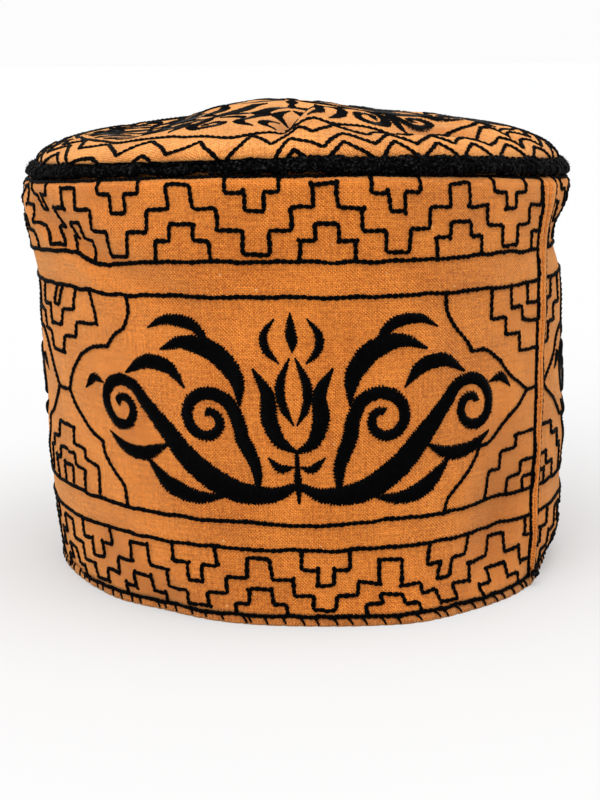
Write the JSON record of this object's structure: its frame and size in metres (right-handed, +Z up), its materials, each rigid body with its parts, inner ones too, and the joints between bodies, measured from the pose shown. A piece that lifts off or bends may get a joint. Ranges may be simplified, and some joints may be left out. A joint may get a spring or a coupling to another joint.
{
  "type": "dervish cap",
  "caption": "Tall round embroidered cloth cap with a straight side wall, a soft domed crown edged by a braided cord, stepped borders, outlined panels and a rolled hem it rests on.",
  "frame": {"origin": "middle of the cap's width and depth, on the surface that its hem rests on", "axes": "+Z up through the crown, -Y out of the middle of the front panel, +X towards the side that the seam is on"},
  "size_m": [0.1964, 0.1911, 0.1666],
  "materials": {
    "cap_cloth": "plain woven orange cotton, matt",
    "black_thread": "near-black embroidery thread and braid, slight sheen"
  },
  "bodies": {
    "root": {"side_wall": "cap_cloth", "crown": "cap_cloth", "hem_roll": "cap_cloth", "crown_cord": "black_thread", "thread_knot": "black_thread"}
  },
  "joints": []
}
